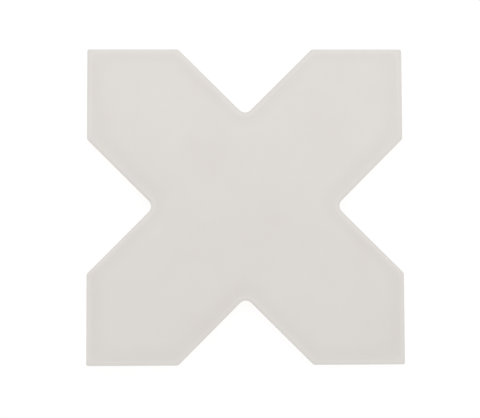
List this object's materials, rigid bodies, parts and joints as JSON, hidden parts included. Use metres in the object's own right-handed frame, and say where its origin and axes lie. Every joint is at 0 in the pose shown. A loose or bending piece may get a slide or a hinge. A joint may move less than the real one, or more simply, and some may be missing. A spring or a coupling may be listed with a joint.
{
  "type": "cross-shaped porcelain tile",
  "caption": "Flat cross-shaped glazed porcelain tile with square-pointed arms, rounded notches, a cushioned face edge and a keyed back, to lay between star tiles.",
  "frame": {"origin": "middle of the back, on the plane of the bed that meets the adhesive", "axes": "+Z out of the glazed face; the arms lie along the diagonals of X and Y, so the sides of their square points are parallel to X and Y"},
  "size_m": [0.12, 0.12, 0.009],
  "materials": {
    "glazed_porcelain": "satin"
  },
  "bodies": {
    "root": {"cross_tile": "glazed_porcelain"}
  },
  "joints": []
}
